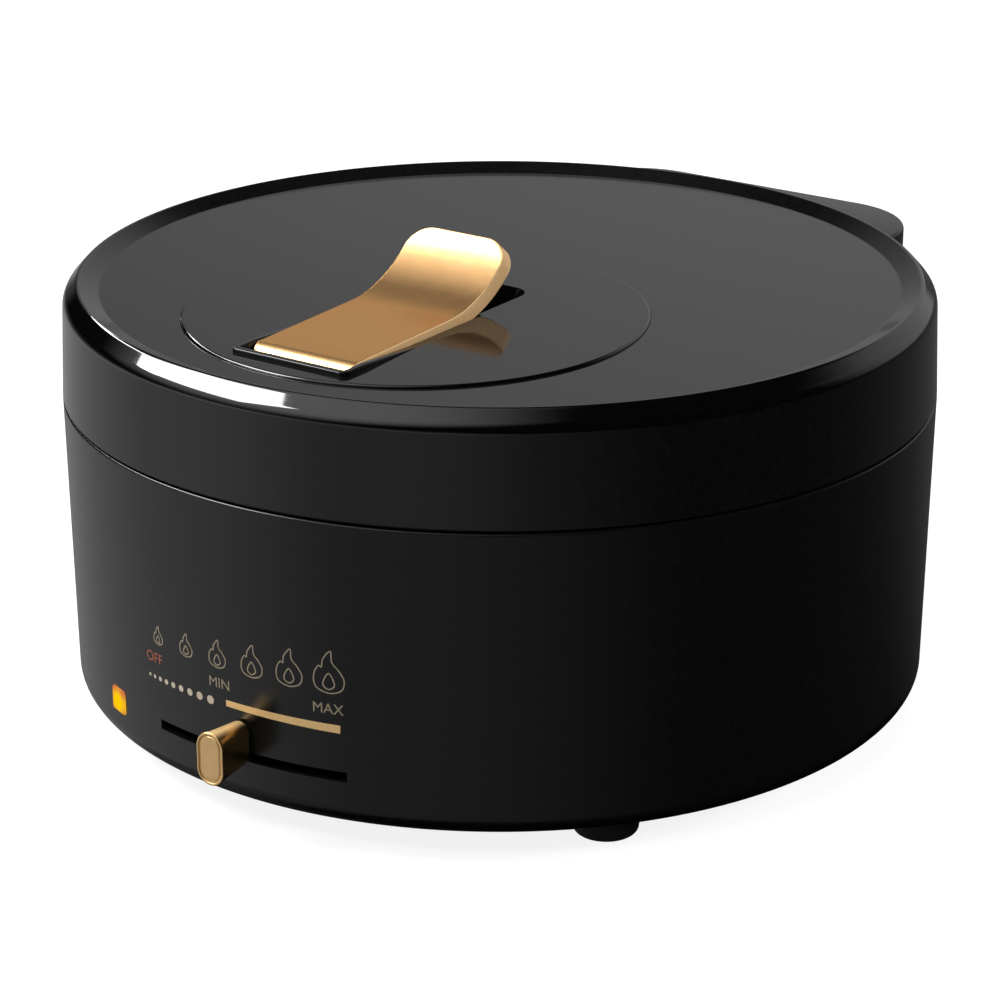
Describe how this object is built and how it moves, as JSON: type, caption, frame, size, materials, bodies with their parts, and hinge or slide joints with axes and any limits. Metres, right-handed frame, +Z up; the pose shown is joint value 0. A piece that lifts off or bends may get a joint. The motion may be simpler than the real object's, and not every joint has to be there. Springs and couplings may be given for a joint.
{
  "type": "electric skillet",
  "caption": "Round countertop electric skillet with a deep pan, a rear-hinged lid that holds a hot plate, a flip-up lid handle, a sliding heat lever and rubber feet.",
  "frame": {"origin": "on the worktop plane under the feet, at the axis of the round body", "axes": "+Z up along the body's axis, -Y towards the front with the heat lever, +Y towards the hinge"},
  "size_m": [0.33, 0.3793, 0.1895],
  "materials": {
    "shell_black": "satin moulded black plastic",
    "panel_gloss": "polished black plastic",
    "trim_black": "fine-textured black plastic",
    "foot_rubber": "matt rubber",
    "nonstick": "cast aluminium with a dark non-stick coating",
    "heater_steel": "heat-dulled steel tube",
    "shield_metal": "bright pressed sheet",
    "screw_steel": "plated steel",
    "thermostat_ceramic": "unglazed steatite",
    "contact_brass": "turned and stamped brass",
    "lead_sleeve": "silicone sleeve",
    "lamp_amber": "clear amber plastic",
    "bulb_glass": "small neon lamp",
    "holder_white": "heat-proof plastic",
    "gold_satin": "satin gold anodised, brushed along its length"
  },
  "bodies": {
    "base": {"base_shell": "shell_black", "bottom_cover": "trim_black", "cover_screws": "screw_steel", "foot_front_left": "foot_rubber", "foot_front_right": "foot_rubber", "foot_rear_left": "foot_rubber", "foot_rear_right": "foot_rubber", "cooking_pan": "nonstick", "pan_screws": "screw_steel", "pan_heater": "heater_steel", "heat_shield": "shield_metal", "shield_screws": "screw_steel", "thermostat_body": "thermostat_ceramic", "thermal_fuse": "holder_white", "base_wiring": "lead_sleeve", "lamp_lens": "lamp_amber", "lamp_holder": "holder_white", "lamp_bulb": "bulb_glass", "power_inlet": "trim_black", "inlet_pins": "contact_brass", "hinge_block": "trim_black", "hinge_screws": "screw_steel", "hinge_pin": "screw_steel"},
    "lever": {"thermostat_spindle": "contact_brass", "lever_arm": "screw_steel", "slider_knob": "gold_satin"},
    "lid": {"lid_shell": "shell_black", "lid_panel": "panel_gloss", "finger_well": "panel_gloss", "plate_screws": "screw_steel", "upper_plate": "nonstick", "upper_heater": "heater_steel", "upper_shield": "shield_metal", "lid_limiter": "trim_black", "handle_pin": "screw_steel"},
    "handle": {"handle": "gold_satin"}
  },
  "joints": [
    {"name": "lid_hinge", "type": "hinge", "parent": "base", "child": "lid", "pos_m": [0, 0.182, 0.113], "axis": [-1, 0, 0], "range_deg": [0, 95]},
    {"name": "handle_lift", "type": "hinge", "parent": "lid", "child": "handle", "pos_m": [0, -0.1165, 0.1633], "axis": [1, 0, 0], "range_deg": [0, 70]},
    {"name": "heat_lever", "type": "hinge", "parent": "base", "child": "lever", "pos_m": [0, 0, 0.033], "axis": [0, 0, 1], "range_deg": [-12.5, 12.5]}
  ]
}
